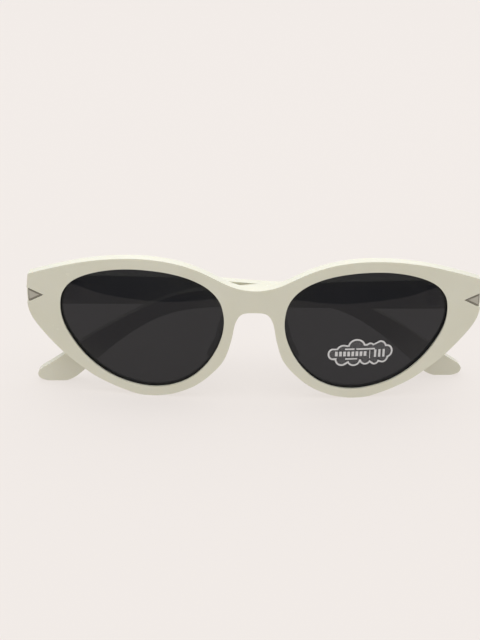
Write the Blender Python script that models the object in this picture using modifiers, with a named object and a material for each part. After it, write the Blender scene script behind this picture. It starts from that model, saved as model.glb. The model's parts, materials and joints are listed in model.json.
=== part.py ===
"""Cat eye sunglasses, standing on their lower rims with the temples folded.

World frame: metres, +Z up.  X runs across the front (+X is the wearer's
left), the front faces -Y, and Z = 0 is the surface the glasses stand on.
"Left" and "right" are the wearer's.

The front is a moulded plate with a face-form curve.  Each lens sits in a
groove.  The hinges are sunk into the endpieces, and each temple turns about
a vertical screw.  The left temple folds in first and lies in front of the
right one.
"""
import math

import bmesh
import bpy
from mathutils import Matrix, Vector

MM = 0.001

# ---------------------------------------------------------------- dimensions
# millimetres and degrees; depth is measured back from the middle of the front
FACE_RADIUS = 300.0        # face-form curve of the front, seen from above
FRONT_THICK = 4.4          # plate thickness of the front
FRONT_ROUND = 1.1          # rounding of the front's edges
DEPTH_SHIFT = -12.6        # puts the origin under the middle of the whole part

GROOVE_FROM = 0.95         # lens groove, behind the front face
GROOVE_WIDE = 2.5
GROOVE_DEEP = 0.9
LENS_FROM = 1.25           # lens edge, behind the front face
LENS_THICK = 1.9
LENS_LIP = 0.6             # how far the lens reaches into its groove
LENS_DOME = 1.4            # rise of the lens over its edge
LENS_CENTRE = (35.2, 22.5)

ENDPIECE_BACK = 13.3       # flat rear face of each endpiece
HINGE_X = 66.2             # hinge axis
HINGE_DEPTH = 14.9
HINGE_Z = 30.3
KNUCKLE_R = 1.25
KNUCKLE_BORE = 0.7
KNUCKLE_TALL = 2.5
KNUCKLE_GAP = 0.25
SCREW_R = 0.6

ARM_INNER = 1.7            # temple's inner face, off the hinge axis
ARM_THICK = 4.0
ARM_THICK_TIP = 3.3
ARM_ROUND = 0.9
ARM_BUTT = 1.3             # temple end beyond the hinge axis
WIRE_R = 0.6
CHANNEL_R = 0.95
FOLD_LEFT = 1.7            # left temple folded past square to the front
FOLD_RIGHT = 2.1           # right temple short of square, behind the left

# Half outline of the front, (x, z), from the top of the bridge round to its
# underside.  "c" is a corner, "f" an end of a straight run.
FRONT_OUTLINE = [
    (0.0, 35.9, ""), (4.5, 36.4, ""), (8.4, 37.65, ""), (12.7, 39.7, ""),
    (18.0, 42.1, ""), (25.0, 44.1, ""), (33.5, 45.1, ""), (43.0, 44.8, ""),
    (53.0, 43.3, ""), (62.5, 40.8, ""), (71.1, 38.0, "c"), (71.6, 33.4, ""),
    (71.7, 30.2, ""), (70.8, 25.3, ""), (67.7, 20.5, ""), (60.6, 13.1, ""),
    (51.8, 6.5, ""), (45.0, 3.1, ""), (39.4, 1.1, ""), (36.6, 0.32, ""),
    (33.9, 0.0, "f"), (31.3, 0.0, "f"), (28.6, 0.3, ""), (24.2, 1.3, ""), (18.4, 3.9, ""), (13.4, 7.9, ""),
    (9.3, 12.9, ""), (7.1, 19.4, ""), (5.9, 25.2, ""), (3.9, 28.2, ""),
    (0.0, 28.75, ""),
]
# Lens opening of the left side, (x, z).
LENS_OPENING = [
    (60.9, 28.8), (60.1, 32.8), (57.4, 36.4), (53.0, 38.9), (47.0, 40.7),
    (40.4, 41.6), (33.2, 41.6), (26.1, 40.8), (19.8, 39.1), (14.5, 36.3),
    (10.9, 32.2), (9.5, 26.9), (9.9, 21.4), (11.9, 15.9), (15.1, 10.9),
    (19.4, 6.8), (24.8, 4.1), (31.1, 3.0), (37.4, 3.6), (43.9, 5.7),
    (49.7, 9.2), (54.7, 14.0), (58.7, 19.9), (60.5, 24.5),
]
# Side view of a temple, (distance from the hinge axis, z).
ARM_OUTLINE = [
    (-1.3, 35.0, "c"), (8.0, 34.9, ""), (22.0, 34.6, ""), (42.0, 34.0, ""),
    (57.0, 32.9, ""), (68.0, 32.0, ""), (78.0, 31.4, ""), (86.5, 30.6, ""),
    (94.0, 28.6, ""), (101.5, 25.2, ""), (111.0, 20.1, ""), (118.0, 15.9, ""),
    (123.5, 12.0, ""), (128.0, 8.6, ""), (131.6, 6.2, ""), (134.6, 4.3, ""),
    (135.9, 2.5, ""), (135.0, 0.8, ""), (132.2, 0.0, "f"), (127.4, 0.0, "f"),
    (123.6, 1.5, ""), (118.0, 6.4, ""), (110.0, 13.4, ""), (101.5, 19.4, ""),
    (93.0, 23.3, ""), (83.0, 25.2, ""), (70.0, 25.7, ""), (52.0, 25.4, ""),
    (33.0, 25.2, ""), (14.0, 25.2, ""), (-1.3, 25.3, "c"),
]
# Middle line of the temple's core wire, (distance from the hinge axis, z).
WIRE_LINE = [
    (0.0, 30.3), (20.0, 30.1), (45.0, 29.7), (64.0, 29.0), (78.0, 28.4),
    (88.0, 27.0), (97.0, 24.0), (107.0, 18.6), (117.0, 12.4), (124.0, 8.1),
]
INLAY = [(71.2, 29.0), (71.2, 33.1), (66.6, 31.4)]
INLAY_TURN = 70.7          # the inlay turns back round the end from here
NOSE_PAD = [
    (6.8, 24.0), (8.7, 25.0), (10.0, 21.6), (11.3, 16.8), (13.4, 12.6),
    (13.2, 10.8), (11.0, 11.0), (9.2, 13.6), (7.8, 17.6), (6.9, 21.2),
]
LABEL_CENTRE = (33.6, 15.5)
LABEL_SIZE = (21.2, 9.8)

# ------------------------------------------------------------------- clearing
for old in list(bpy.data.objects):
    bpy.data.objects.remove(old, do_unlink=True)

PARTS = bpy.data.collections.new("cat_eye_sunglasses")
CUTTERS = bpy.data.collections.new("cutters")
bpy.context.scene.collection.children.link(PARTS)
bpy.context.scene.collection.children.link(CUTTERS)


# ------------------------------------------------------------------ materials
def material(name, colour, roughness, metallic=0.0, alpha=1.0):
    mat = bpy.data.materials.new(name)
    mat.use_nodes = True
    shader = mat.node_tree.nodes["Principled BSDF"]
    shader.inputs["Base Color"].default_value = (*colour, 1.0)
    shader.inputs["Roughness"].default_value = roughness
    shader.inputs["Metallic"].default_value = metallic
    shader.inputs["Alpha"].default_value = alpha
    return mat


IVORY = (0.62, 0.59, 0.47)
SMOKE = (0.020, 0.018, 0.019)
STEEL = (0.46, 0.45, 0.42)


# ------------------------------------------------------------------ 2D curves
def smooth_loop(points, steps):
    """Closed loop through (x, z[, mark]) points; corners and straight runs kept."""
    pts = [(p[0], p[1], p[2] if len(p) > 2 else "") for p in points]
    n, out = len(pts), []

    def tangent(i, side):
        a, b, c = pts[i - 1], pts[i], pts[(i + 1) % n]
        if b[2] == "c":
            far = c if side > 0 else a
            return ((far[0] - b[0]) * side * 0.6, (far[1] - b[1]) * side * 0.6)
        if b[2] == "f":
            return (0.5 * math.copysign(abs(c[0] - a[0]), c[0] - a[0]) * 0.5, 0.0)
        return ((c[0] - a[0]) * 0.5, (c[1] - a[1]) * 0.5)

    for i in range(n):
        a, b = pts[i], pts[(i + 1) % n]
        if a[2] == "f" and b[2] == "f":
            out.append((a[0], a[1]))
            continue
        if a[2] == "c" and b[2] == "c":
            out.append((a[0], a[1]))
            continue
        ta, tb = tangent(i, 1), tangent((i + 1) % n, -1)
        for k in range(steps):
            t = k / steps
            h00, h10 = 2 * t**3 - 3 * t**2 + 1, t**3 - 2 * t**2 + t
            h01, h11 = -2 * t**3 + 3 * t**2, t**3 - t**2
            out.append(tuple(h00 * a[j] + h10 * ta[j] + h01 * b[j] + h11 * tb[j]
                             for j in (0, 1)))
    return out


def offset_loop(loop, distance):
    """The loop moved outward by a distance, along its corner normals."""
    area = sum(loop[i - 1][0] * loop[i][1] - loop[i][0] * loop[i - 1][1]
               for i in range(len(loop)))
    sign = 1.0 if area > 0 else -1.0
    out = []
    for i, p in enumerate(loop):
        a, b = Vector(loop[i - 1]), Vector(loop[(i + 1) % len(loop)])
        q = Vector(p)
        n1 = Vector(((q - a).y, -(q - a).x)).normalized() * sign
        n2 = Vector(((b - q).y, -(b - q).x)).normalized() * sign
        n = (n1 + n2).normalized()
        out.append(tuple(q + n * (distance / max(n.dot(n1), 0.35))))
    return out


def plate(name, loops, thickness, depth_middle):
    """A flat outline (with holes) in the XZ plane, given a thickness along Y."""
    curve = bpy.data.curves.new(name, "CURVE")
    curve.dimensions = "2D"
    curve.fill_mode = "BOTH"
    curve.extrude = 0.5 * thickness * MM
    for loop in loops:
        spline = curve.splines.new("POLY")
        spline.points.add(len(loop) - 1)
        for point, (x, z) in zip(spline.points, loop):
            point.co = (x * MM, z * MM, 0.0, 1.0)
        spline.use_cyclic_u = True
    obj = bpy.data.objects.new(name + "_outline", curve)
    obj.rotation_euler = (math.pi / 2, 0.0, 0.0)
    obj.location = (0.0, depth_middle * MM, 0.0)
    return mesh_of(obj, name)


def mesh_of(curve_obj, name):
    """Welded mesh of a curve object, in the curve object's parent frame."""
    bpy.context.scene.collection.objects.link(curve_obj)
    bpy.context.view_layer.update()
    graph = bpy.context.evaluated_depsgraph_get()
    mesh = bpy.data.meshes.new_from_object(curve_obj.evaluated_get(graph))
    mesh.transform(curve_obj.matrix_world)
    mesh.name = name
    bm = bmesh.new()
    bm.from_mesh(mesh)
    bmesh.ops.remove_doubles(bm, verts=bm.verts, dist=0.00001)
    bmesh.ops.recalc_face_normals(bm, faces=bm.faces)
    bm.to_mesh(mesh)
    bm.free()
    bpy.data.objects.remove(curve_obj, do_unlink=True)
    return mesh


def slice_mesh(mesh, cuts, axis=0):
    """Add edge loops on planes across an axis, so that the mesh can bend."""
    normal = [0.0, 0.0, 0.0]
    normal[axis] = 1.0
    bm = bmesh.new()
    bm.from_mesh(mesh)
    for cut in cuts:
        point = [0.0, 0.0, 0.0]
        point[axis] = cut * MM
        bmesh.ops.bisect_plane(
            bm, geom=bm.verts[:] + bm.edges[:] + bm.faces[:], dist=1e-7,
            plane_co=point, plane_no=normal)
    bm.to_mesh(mesh)
    bm.free()


def sag(x):
    """How far the front's face form falls back at x (millimetres)."""
    return x * x / (2.0 * FACE_RADIUS)


def bend(mesh, step=6.0):
    """Bend a flat plate to the face form."""
    slice_mesh(mesh, [k * step for k in range(-12, 13)])
    for vertex in mesh.vertices:
        vertex.co.y += sag(vertex.co.x / MM) * MM


def follow_end(mesh):
    """Bend a piece of inlay to the face form and the rounded outer end."""
    slice_mesh(mesh, [s * x for s in (-1, 1) for x in (68.5, INLAY_TURN)])
    for vertex in mesh.vertices:
        x = abs(vertex.co.x / MM)
        vertex.co.y += (sag(x) + max(0.0, x - INLAY_TURN) * 0.9) * MM


# ------------------------------------------------------------------- objects
def place(name, mesh, mat=None, parent=None, cutter=False, sharp=40.0):
    obj = bpy.data.objects.new(name, mesh)
    (CUTTERS if cutter else PARTS).objects.link(obj)
    if parent:
        obj.parent = parent
    if cutter:
        obj.hide_render = True
        obj.display_type = "WIRE"
    else:
        mesh.materials.clear()
        mesh.materials.append(mat)
        mesh.shade_smooth()
        mesh.set_sharp_from_angle(angle=math.radians(sharp))
    return obj


def boolean(obj, other, operation="DIFFERENCE"):
    mod = obj.modifiers.new(operation.lower() + "_" + other.name, "BOOLEAN")
    mod.operation = operation
    mod.solver = "EXACT"
    mod.object = other
    other.hide_render = True
    other.display_type = "WIRE"


def bevel(obj, width, segments=2, angle=50.0):
    mod = obj.modifiers.new("rounded_edges", "BEVEL")
    mod.width = width * MM
    mod.segments = segments
    mod.limit_method = "ANGLE"
    mod.angle_limit = math.radians(angle)
    mod.harden_normals = False


def box_mesh(name, low, high):
    bm = bmesh.new()
    bmesh.ops.create_cube(bm, size=1.0)
    size = [(b - a) * MM for a, b in zip(low, high)]
    middle = [0.5 * (a + b) * MM for a, b in zip(low, high)]
    bmesh.ops.scale(bm, vec=size, verts=bm.verts)
    bmesh.ops.translate(bm, vec=middle, verts=bm.verts)
    mesh = bpy.data.meshes.new(name)
    bm.to_mesh(mesh)
    bm.free()
    return mesh


def rod_mesh(name, radii, stations, segments=16, turn=None, move=(0, 0, 0)):
    """A turned solid on Z: one radius at each station, with flat ends."""
    bm = bmesh.new()
    for k in range(len(stations) - 1):
        height = (stations[k + 1] - stations[k]) * MM
        ring = bmesh.ops.create_cone(
            bm, cap_ends=True, segments=segments, radius1=radii[k] * MM,
            radius2=radii[k + 1] * MM, depth=height)
        bmesh.ops.translate(
            bm, vec=(0, 0, stations[k] * MM + height / 2), verts=ring["verts"])
    bmesh.ops.remove_doubles(bm, verts=bm.verts, dist=0.000001)
    inner = [f for f in bm.faces if all(len(e.link_faces) > 2 for e in f.edges)]
    bmesh.ops.delete(bm, geom=inner, context="FACES_ONLY")
    bmesh.ops.recalc_face_normals(bm, faces=bm.faces)
    if turn is not None:
        bmesh.ops.transform(bm, matrix=turn, verts=bm.verts)
    bmesh.ops.translate(bm, vec=[m * MM for m in move], verts=bm.verts)
    mesh = bpy.data.meshes.new(name)
    bm.to_mesh(mesh)
    bm.free()
    return mesh


def tube_mesh(name, line, radius, resolution):
    """A wire of round section along (x, y, z) points."""
    curve = bpy.data.curves.new(name, "CURVE")
    curve.dimensions = "3D"
    curve.bevel_depth = radius * MM
    curve.bevel_resolution = resolution
    curve.use_fill_caps = True
    spline = curve.splines.new("POLY")
    spline.points.add(len(line) - 1)
    for point, co in zip(spline.points, line):
        point.co = (*[c * MM for c in co], 1.0)
    return mesh_of(bpy.data.objects.new(name + "_line", curve), name)


def union_mesh(name, meshes):
    """Several overlapping meshes joined into one closed solid."""
    objs = []
    for k, mesh in enumerate(meshes):
        obj = bpy.data.objects.new(f"{name}_piece_{k}", mesh)
        bpy.context.scene.collection.objects.link(obj)
        objs.append(obj)
    for other in objs[1:]:
        mod = objs[0].modifiers.new("join", "BOOLEAN")
        mod.operation = "UNION"
        mod.solver = "EXACT"
        mod.object = other
    bpy.context.view_layer.update()
    graph = bpy.context.evaluated_depsgraph_get()
    mesh = bpy.data.meshes.new_from_object(objs[0].evaluated_get(graph))
    mesh.name = name
    for obj in objs:
        bpy.data.objects.remove(obj, do_unlink=True)
    return mesh


def mirrored(points, side):
    return [(side * p[0],) + tuple(p[1:]) for p in points]


# --------------------------------------------------------------- whole object
ROOT = bpy.data.objects.new("sunglasses_origin", None)
PARTS.objects.link(ROOT)
FRONT = bpy.data.objects.new("front_assembly", None)
FRONT.location = (0.0, DEPTH_SHIFT * MM, 0.0)
FRONT.parent = ROOT
PARTS.objects.link(FRONT)

SIDES = {"left": 1, "right": -1}

# -------------------------------------------------------------------- the front
half = FRONT_OUTLINE
whole = half + [(-x, z, m) for x, z, m in reversed(half[1:-1])]
outer = smooth_loop(whole, 2)
openings = {name: smooth_loop(mirrored(LENS_OPENING, side), 2)
            for name, side in SIDES.items()}
front_mesh = plate("front_frame", [outer, openings["left"], openings["right"]],
                   FRONT_THICK, FRONT_THICK / 2)
bend(front_mesh)
front = place("front_frame", front_mesh,
              material("ivory_front", IVORY, 0.18), FRONT)
bevel(front, FRONT_ROUND)

for name, side in SIDES.items():
    # endpiece block with the flat rear face that the temple closes against
    block = plate(f"endpiece_block_{name}", [mirrored([
        (63.2, 25.0), (69.6, 25.0), (71.0, 29.4), (70.5, 35.6), (66.3, 37.1),
        (63.2, 37.1)], side)], 5.0, ENDPIECE_BACK - 2.5)
    block_obj = place(f"endpiece_block_{name}", block, parent=FRONT, cutter=True)
    bevel(block_obj, 0.5, 1)
    boolean(front, block_obj, "UNION")

    # lens groove
    groove = plate(f"lens_groove_{name}",
                   [offset_loop(openings[name], GROOVE_DEEP)],
                   GROOVE_WIDE, GROOVE_FROM + GROOVE_WIDE / 2)
    bend(groove)
    boolean(front, place(f"lens_groove_{name}", groove, parent=FRONT,
                         cutter=True))

    # recess for the endpiece inlay, open at the outer end
    tip = INLAY[2]
    recess = plate(f"inlay_recess_{name}", [mirrored([
        (75.0, 28.7), (71.2, 28.7), (tip[0] - 0.7, tip[1]), (71.2, 33.4),
        (75.0, 33.4)], side)], 3.0, -1.5 + 0.75)
    follow_end(recess)
    boolean(front, place(f"inlay_recess_{name}", recess, parent=FRONT,
                         cutter=True))

    # pocket for the sunk hinge
    x0, x1 = sorted((side * (HINGE_X - 1.1), side * (HINGE_X + 1.1)))
    pocket = box_mesh(f"hinge_pocket_{name}", (x0, 9.2, HINGE_Z - 4.3),
                      (x1, 14.0, HINGE_Z + 4.3))
    boolean(front, place(f"hinge_pocket_{name}", pocket, parent=FRONT,
                         cutter=True))


# -------------------------------------------------------------------- the lenses
def lens_depth(x, reach):
    """Depth of the lens's front surface; reach is 1 at its edge, 0 at its middle."""
    return sag(x) + LENS_FROM - LENS_DOME * (1.0 - reach * reach)


def lens_mesh(name, loop, side):
    cx, cz = LENS_CENTRE[0] * side, LENS_CENTRE[1]
    reaches = [1.0, 0.86, 0.66, 0.44, 0.22]
    bm = bmesh.new()
    rings = []
    for reach in reaches:
        ring = []
        for x, z in loop:
            px, pz = cx + (x - cx) * reach, cz + (z - cz) * reach
            ring.append(bm.verts.new(
                (px * MM, lens_depth(px, reach) * MM, pz * MM)))
        rings.append(ring)
    middle = bm.verts.new((cx * MM, lens_depth(cx, 0.0) * MM, cz * MM))
    n = len(loop)
    for a, b in zip(rings, rings[1:]):
        for i in range(n):
            bm.faces.new((a[i], a[(i + 1) % n], b[(i + 1) % n], b[i]))
    for i in range(n):
        bm.faces.new((rings[-1][i], rings[-1][(i + 1) % n], middle))
    back = bmesh.ops.extrude_face_region(bm, geom=bm.faces[:])
    bmesh.ops.translate(
        bm, vec=(0, LENS_THICK * MM, 0),
        verts=[g for g in back["geom"] if isinstance(g, bmesh.types.BMVert)])
    bmesh.ops.recalc_face_normals(bm, faces=bm.faces)
    mesh = bpy.data.meshes.new(name)
    bm.to_mesh(mesh)
    bm.free()
    return mesh


for name, side in SIDES.items():
    edge = offset_loop(openings[name], LENS_LIP)
    place(f"lens_{name}", lens_mesh(f"lens_{name}", edge, side),
          material(f"smoke_lens_{name}", SMOKE, 0.05, alpha=0.9), FRONT)

# clear film label on the left lens, following its dome
film = bmesh.new()
bmesh.ops.create_grid(film, x_segments=6, y_segments=3, size=0.5)
for vertex in film.verts:
    px = LABEL_CENTRE[0] + vertex.co.x * LABEL_SIZE[0]
    pz = LABEL_CENTRE[1] + vertex.co.y * LABEL_SIZE[1]
    dx, dz = px - LENS_CENTRE[0], pz - LENS_CENTRE[1]
    # fraction of the way from the middle of the lens to its edge
    angle = math.atan2(dz, dx)
    edge_r = max(0.1, min(
        (math.hypot(x - LENS_CENTRE[0], z - LENS_CENTRE[1])
         for x, z in offset_loop(openings["left"], LENS_LIP)
         if abs(math.remainder(math.atan2(z - LENS_CENTRE[1], x - LENS_CENTRE[0])
                               - angle, math.tau)) < 0.09), default=20.0))
    reach = math.hypot(dx, dz) / edge_r
    vertex.co = (px * MM, (lens_depth(px, reach) - 0.32) * MM, pz * MM)
skin = bmesh.ops.extrude_face_region(film, geom=film.faces[:])
bmesh.ops.translate(
    film, vec=(0, 0.15 * MM, 0),
    verts=[g for g in skin["geom"] if isinstance(g, bmesh.types.BMVert)])
bmesh.ops.recalc_face_normals(film, faces=film.faces)
film_mesh = bpy.data.meshes.new("lens_label")
film.to_mesh(film_mesh)
film.free()
place("lens_label", film_mesh,
      material("clear_film", (0.75, 0.76, 0.76), 0.3, alpha=0.5), FRONT)

# --------------------------------------------------- inlays, nose pads, hinges
for name, side in SIDES.items():
    inlay = plate(f"endpiece_inlay_{name}", [mirrored(INLAY, side)], 0.45, 0.27)
    follow_end(inlay)
    place(f"endpiece_inlay_{name}", inlay,
          material(f"inlay_metal_{name}", STEEL, 0.32, 1.0), FRONT, sharp=25)

    pad_loop = smooth_loop(mirrored(NOSE_PAD, side), 1)
    pad = plate(f"nose_pad_{name}", [pad_loop], 4.2, FRONT_THICK + 0.45 + 2.1)
    for vertex in pad.vertices:
        behind = vertex.co.y / MM - (FRONT_THICK + 0.45)
        vertex.co.x += side * behind * 0.28 * MM
    pad_obj = place(f"nose_pad_{name}", pad,
                    material(f"ivory_pad_{name}", IVORY, 0.25), FRONT)
    bevel(pad_obj, 0.9, 2)

    # front leaf: a sunk tang, two lugs and two knuckles
    low, high = HINGE_Z - 1.5 * KNUCKLE_TALL - KNUCKLE_GAP, 0.0
    spans = [(low, low + KNUCKLE_TALL),
             (HINGE_Z + 0.5 * KNUCKLE_TALL + KNUCKLE_GAP,
              HINGE_Z + 1.5 * KNUCKLE_TALL + KNUCKLE_GAP)]
    x0, x1 = sorted((side * (HINGE_X - 0.8), side * (HINGE_X + 0.8)))
    pieces = [box_mesh("tang", (x0, 9.5, spans[0][0] + 0.02),
                       (x1, 13.0, spans[1][1] - 0.02))]
    for z0, z1 in spans:
        pieces.append(box_mesh("lug", (x0, 12.6, z0 + 0.01),
                               (x1, HINGE_DEPTH, z1 - 0.01)))
        pieces.append(rod_mesh("knuckle", [KNUCKLE_R, KNUCKLE_R], [z0, z1],
                               move=(side * HINGE_X, HINGE_DEPTH, 0)))
    leaf = place(f"front_hinge_leaf_{name}",
                 union_mesh(f"front_hinge_leaf_{name}", pieces),
                 material(f"hinge_steel_front_{name}", STEEL, 0.3, 1.0), FRONT)
    bore = rod_mesh(f"front_bore_{name}", [KNUCKLE_BORE, KNUCKLE_BORE],
                    [HINGE_Z - 6, HINGE_Z + 6],
                    move=(side * HINGE_X, HINGE_DEPTH, 0))
    boolean(leaf, place(f"front_bore_{name}", bore, parent=FRONT, cutter=True))

    # hinge screw, slotted head up
    top = spans[1][1]
    screw = rod_mesh(f"hinge_screw_{name}", [SCREW_R, SCREW_R, 1.15, 1.15, 0.9],
                     [low + 0.3, top + 0.12, top + 0.1201, top + 0.5, top + 0.7],
                     move=(side * HINGE_X, HINGE_DEPTH, 0))
    screw_obj = place(f"hinge_screw_{name}", screw,
                      material(f"screw_steel_{name}", STEEL, 0.25, 1.0), FRONT)
    slot = box_mesh(f"screw_slot_{name}", (side * HINGE_X - 2, HINGE_DEPTH - 0.16,
                                           top + 0.42),
                    (side * HINGE_X + 2, HINGE_DEPTH + 0.16, top + 2))
    boolean(screw_obj, place(f"screw_slot_{name}", slot, parent=FRONT,
                             cutter=True))

# -------------------------------------------------------------------- temples
# Each temple is made in its pivot's frame: the arm runs along -X on the left
# side and +X on the right, its thickness runs back along +Y, and the origin
# is on the hinge axis.
for name, side in SIDES.items():
    pivot = bpy.data.objects.new(f"{name}_temple_pivot", None)
    pivot.location = (side * HINGE_X * MM, (DEPTH_SHIFT + HINGE_DEPTH) * MM, 0.0)
    fold = FOLD_LEFT if side > 0 else FOLD_RIGHT
    pivot.rotation_euler = (0.0, 0.0, math.radians(fold))
    pivot.parent = ROOT
    PARTS.objects.link(pivot)

    middle = ARM_INNER + ARM_THICK / 2
    arm = plate(f"temple_{name}", [smooth_loop(mirrored(ARM_OUTLINE, -side), 2)],
                ARM_THICK, middle)
    slice_mesh(arm, [-side * s for s in (20, 40, 60, 80, 100, 120)])
    for vertex in arm.vertices:
        s = abs(vertex.co.x / MM)
        thick = ARM_THICK + (ARM_THICK_TIP - ARM_THICK) * min(1.0, s / 137.0)
        vertex.co.y = (middle + (vertex.co.y / MM - middle) * thick / ARM_THICK) * MM
    arm_obj = place(f"temple_{name}", arm,
                    material(f"ivory_temple_{name}", IVORY, 0.18), pivot)
    bevel(arm_obj, ARM_ROUND)

    def along(points, first, last):
        out = [(-side * first, middle, points[0][1])]
        out += [(-side * s, middle, z) for s, z in points]
        end, before = Vector(points[-1]), Vector(points[-2])
        tip_point = end + (end - before).normalized() * last
        return out + [(-side * tip_point.x, middle, tip_point.y)]

    channel = place(f"wire_channel_{name}", tube_mesh(
        f"wire_channel_{name}", along(WIRE_LINE, -3.0, 1.2), CHANNEL_R, 1),
        parent=pivot, cutter=True)
    boolean(arm_obj, channel)
    place(f"temple_core_wire_{name}",
          tube_mesh(f"temple_core_wire_{name}", along(WIRE_LINE, -0.8, 0.6),
                    WIRE_R, 1),
          material(f"core_wire_steel_{name}", STEEL, 0.35, 1.0), pivot)

    # temple leaf: plate on the inner face, with one knuckle between the others
    z0, z1 = HINGE_Z - 0.5 * KNUCKLE_TALL, HINGE_Z + 0.5 * KNUCKLE_TALL

    def span(a, b):
        return sorted((-side * a, -side * b))

    p0, p1 = span(1.95, 10.5)
    l0, l1 = span(0.0, 2.6)
    leaf_mesh = union_mesh(f"temple_hinge_leaf_{name}", [
        box_mesh("plate", (p0, 0.5, HINGE_Z - 3.7), (p1, 1.4, HINGE_Z + 3.7)),
        box_mesh("lug", (l0, 0.45, z0 + 0.02), (l1, 1.24, z1 - 0.02)),
        rod_mesh("knuckle", [KNUCKLE_R, KNUCKLE_R], [z0, z1])])
    leaf = place(f"temple_hinge_leaf_{name}", leaf_mesh,
                 material(f"hinge_steel_temple_{name}", STEEL, 0.3, 1.0), pivot)
    bore = place(f"temple_bore_{name}", rod_mesh(
        f"temple_bore_{name}", [KNUCKLE_BORE, KNUCKLE_BORE],
        [HINGE_Z - 3, HINGE_Z + 3]), parent=pivot, cutter=True)
    boolean(leaf, bore)

    # countersunk rivets through the leaf into the temple
    back_turn = Matrix.Rotation(-math.pi / 2, 4, "X")
    for label, height in (("upper", HINGE_Z + 2.35), ("lower", HINGE_Z - 2.35)):
        spot = (-side * 6.6, 0.0, height)
        place(f"temple_rivet_{label}_{name}", rod_mesh(
            f"temple_rivet_{label}_{name}", [1.05, 0.6, 0.6], [0.5, 0.95, 4.2],
            turn=back_turn, move=spot),
            material(f"rivet_steel_{label}_{name}", STEEL, 0.3, 1.0), pivot)
        hole = place(f"rivet_hole_{label}_{name}", rod_mesh(
            f"rivet_hole_{label}_{name}", [1.6, 0.85, 0.85], [0.2, 0.95, 4.5],
            turn=back_turn, move=spot), parent=pivot, cutter=True)
        boolean(leaf, hole)
        boolean(arm_obj, hole)

bpy.context.view_layer.update()
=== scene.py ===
import json
import math

import bmesh
import bpy
import numpy as np
from mathutils import Matrix, Vector


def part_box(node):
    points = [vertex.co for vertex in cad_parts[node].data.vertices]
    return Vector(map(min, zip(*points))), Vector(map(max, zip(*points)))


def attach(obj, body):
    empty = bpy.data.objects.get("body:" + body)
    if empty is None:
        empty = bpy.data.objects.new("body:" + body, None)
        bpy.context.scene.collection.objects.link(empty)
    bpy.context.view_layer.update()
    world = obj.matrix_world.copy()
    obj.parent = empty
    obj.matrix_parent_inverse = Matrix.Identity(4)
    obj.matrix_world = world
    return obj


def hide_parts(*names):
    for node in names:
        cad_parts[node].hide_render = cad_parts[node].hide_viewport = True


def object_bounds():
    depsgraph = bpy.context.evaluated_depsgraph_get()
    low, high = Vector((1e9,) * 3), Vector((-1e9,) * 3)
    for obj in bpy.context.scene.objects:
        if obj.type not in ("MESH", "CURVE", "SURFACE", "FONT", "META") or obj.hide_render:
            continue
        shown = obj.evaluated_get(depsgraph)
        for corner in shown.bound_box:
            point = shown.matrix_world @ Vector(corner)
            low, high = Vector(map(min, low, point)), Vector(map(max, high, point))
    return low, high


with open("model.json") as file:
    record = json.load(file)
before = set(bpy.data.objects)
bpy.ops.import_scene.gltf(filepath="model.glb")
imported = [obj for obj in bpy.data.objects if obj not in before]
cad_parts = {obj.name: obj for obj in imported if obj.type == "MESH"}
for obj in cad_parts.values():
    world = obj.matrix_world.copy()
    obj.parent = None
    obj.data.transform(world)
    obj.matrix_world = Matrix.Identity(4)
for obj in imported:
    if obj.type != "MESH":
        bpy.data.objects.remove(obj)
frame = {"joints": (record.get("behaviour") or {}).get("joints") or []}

MM = 0.001
cad_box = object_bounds()


# --------------------------------------------------------------- frame facts
front_low, front_high = (Vector(c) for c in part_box("front_frame"))
SHIFT = front_low.y                      # the middle of the front face
PIVOT = {}
for joint in frame["joints"]:
    PIVOT[joint["name"].split("_")[0]] = Vector(joint["pos_m"])
HINGE_X = PIVOT["left"].x / MM
HINGE_DEPTH = (PIVOT["left"].y - SHIFT) / MM
HINGE_Z = PIVOT["left"].z / MM
SIDES = {"left": 1, "right": -1}
FOLD = {"left": 1.7, "right": 2.1}

# ----------------------------------------------- the design, in millimetres
FACE_RADIUS = 300.0
FRONT_THICK = 4.4
LENS_FROM, LENS_THICK, LENS_LIP, LENS_DOME = 1.25, 1.9, 0.6, 1.4
LENS_CENTRE = (35.2, 22.5)
ENDPIECE_BACK = 13.3
ARM_INNER, ARM_THICK, ARM_THICK_TIP = 1.7, 4.0, 3.3

FRONT_OUTLINE = [
    (0.0, 35.9, ""), (4.5, 36.4, ""), (8.4, 37.65, ""), (12.7, 39.7, ""),
    (18.0, 42.1, ""), (25.0, 44.1, ""), (33.5, 45.1, ""), (43.0, 44.8, ""),
    (53.0, 43.3, ""), (62.5, 40.8, ""), (71.1, 38.0, "c"), (71.6, 33.4, ""),
    (71.7, 30.2, ""), (70.8, 25.3, ""), (67.7, 20.5, ""), (60.6, 13.1, ""),
    (51.8, 6.5, ""), (45.0, 3.1, ""), (39.4, 1.1, ""), (36.6, 0.32, ""),
    (33.9, 0.0, "f"), (31.3, 0.0, "f"), (28.6, 0.3, ""), (24.2, 1.3, ""), (18.4, 3.9, ""), (13.4, 7.9, ""),
    (9.3, 12.9, ""), (7.1, 19.4, ""), (5.9, 25.2, ""), (3.9, 28.2, ""),
    (0.0, 28.75, ""),
]
LENS_OPENING = [
    (60.9, 28.8), (60.1, 32.8), (57.4, 36.4), (53.0, 38.9), (47.0, 40.7),
    (40.4, 41.6), (33.2, 41.6), (26.1, 40.8), (19.8, 39.1), (14.5, 36.3),
    (10.9, 32.2), (9.5, 26.9), (9.9, 21.4), (11.9, 15.9), (15.1, 10.9),
    (19.4, 6.8), (24.8, 4.1), (31.1, 3.0), (37.4, 3.6), (43.9, 5.7),
    (49.7, 9.2), (54.7, 14.0), (58.7, 19.9), (60.5, 24.5),
]
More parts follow.
